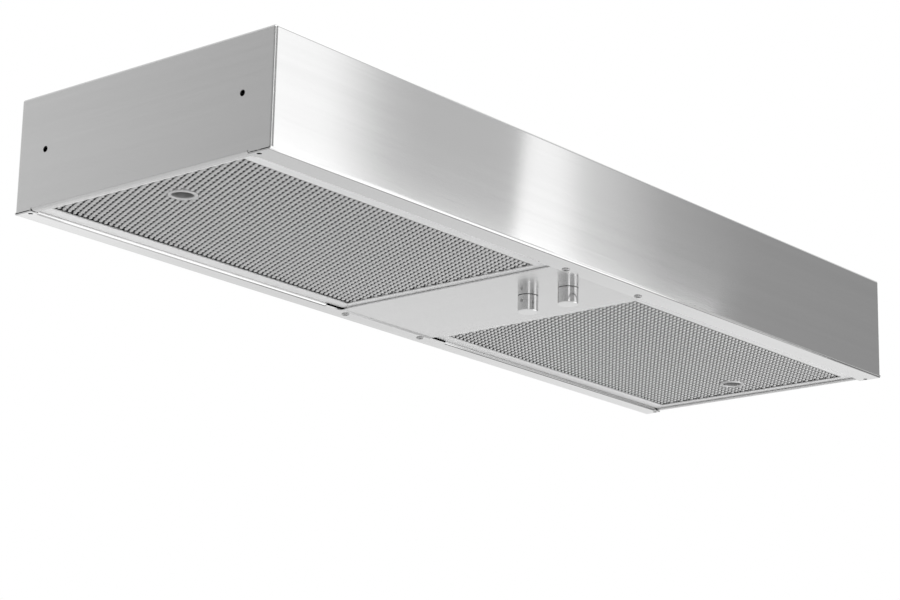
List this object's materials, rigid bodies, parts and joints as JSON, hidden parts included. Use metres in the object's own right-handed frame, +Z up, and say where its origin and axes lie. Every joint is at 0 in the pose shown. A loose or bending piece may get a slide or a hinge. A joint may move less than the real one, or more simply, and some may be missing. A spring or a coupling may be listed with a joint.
{
  "type": "range hood insert",
  "caption": "Wide shallow stainless range hood insert: folded body, mesh grease filters, centre panel with knobs, blower, and rectangular duct collar with a back-draught flap.",
  "frame": {"origin": "centre of the four corner holes, on the underside of the flanges", "axes": "+X along the front to the right as seen by someone facing the hood, +Y from the front to the back, +Z up towards the duct"},
  "size_m": [0.9144, 0.2996, 0.1508],
  "materials": {
    "stainless": "stainless sheet with a fine straight brushed grain",
    "zinc_plate": "plain zinc-coated sheet",
    "aluminium": "satin aluminium",
    "mesh": "bare expanded aluminium in layers",
    "polished": "polished metal",
    "steel_fixings": "bright steel",
    "black_steel": "black oxide",
    "motor_paint": "black enamel",
    "black_plastic": "moulded, matt",
    "pale_plastic": "moulded, matt",
    "cable_sheath": "smooth flexible sheath",
    "grommet_rubber": "matt"
  },
  "bodies": {
    "hood": {"front_panel": "stainless", "rear_panel": "stainless", "left_end_panel": "stainless", "right_end_panel": "stainless", "top_panel": "stainless", "top_rivets": "aluminium", "centre_panel": "stainless", "panel_screws": "steel_fixings", "panel_nuts": "steel_fixings", "fan_control": "black_plastic", "light_dimmer": "black_plastic", "control_nuts": "steel_fixings", "control_shield": "zinc_plate", "shield_nuts": "steel_fixings", "motor": "motor_paint", "motor_band": "zinc_plate", "left_scroll": "zinc_plate", "right_scroll": "zinc_plate", "left_inlet_ring": "zinc_plate", "right_inlet_ring": "zinc_plate", "blower_screws": "steel_fixings", "capacitor": "aluminium", "capacitor_strap": "zinc_plate", "junction_box": "zinc_plate", "junction_cover": "zinc_plate", "cover_screws": "steel_fixings", "terminal_block": "pale_plastic", "control_cable": "cable_sheath", "motor_lead": "cable_sheath", "capacitor_lead": "cable_sheath", "cable_grommets": "grommet_rubber", "duct_collar": "zinc_plate", "collar_rivets": "aluminium", "damper_pin": "steel_fixings"},
    "left_filter": {"left_filter_frame": "aluminium", "left_filter_mesh": "mesh", "left_filter_eyelet": "aluminium"},
    "right_filter": {"right_filter_frame": "aluminium", "right_filter_mesh": "mesh", "right_filter_eyelet": "aluminium"},
    "fan_dial": {"fan_knob": "polished", "fan_set_screw": "black_steel", "fan_shaft": "steel_fixings"},
    "light_dial": {"light_knob": "polished", "light_set_screw": "black_steel", "light_shaft": "steel_fixings"},
    "rotor": {"motor_shaft": "steel_fixings", "left_wheel": "zinc_plate", "right_wheel": "zinc_plate"},
    "damper": {"damper_flap": "zinc_plate"}
  },
  "joints": [
    {"name": "left_filter_slide", "type": "slide", "parent": "hood", "child": "left_filter", "axis": [1, 0, 0], "range_m": [0, 0.0085]},
    {"name": "right_filter_slide", "type": "slide", "parent": "hood", "child": "right_filter", "axis": [-1, 0, 0], "range_m": [0, 0.0085]},
    {"name": "fan_turn", "type": "hinge", "parent": "hood", "child": "fan_dial", "pos_m": [0, -0.04415, 0], "axis": [0, 0, 1], "range_deg": [0, 270]},
    {"name": "light_turn", "type": "hinge", "parent": "hood", "child": "light_dial", "pos_m": [0, -0.09105, 0], "axis": [0, 0, 1], "range_deg": [0, 270]},
    {"name": "rotor_spin", "type": "hinge", "parent": "hood", "child": "rotor", "pos_m": [0, 0.04985, 0.058], "axis": [1, 0, 0], "continuous": true},
    {"name": "damper_swing", "type": "hinge", "parent": "hood", "child": "damper", "pos_m": [0, 0.1072, 0.1107], "axis": [-1, 0, 0], "range_deg": [0, 70]}
  ]
}
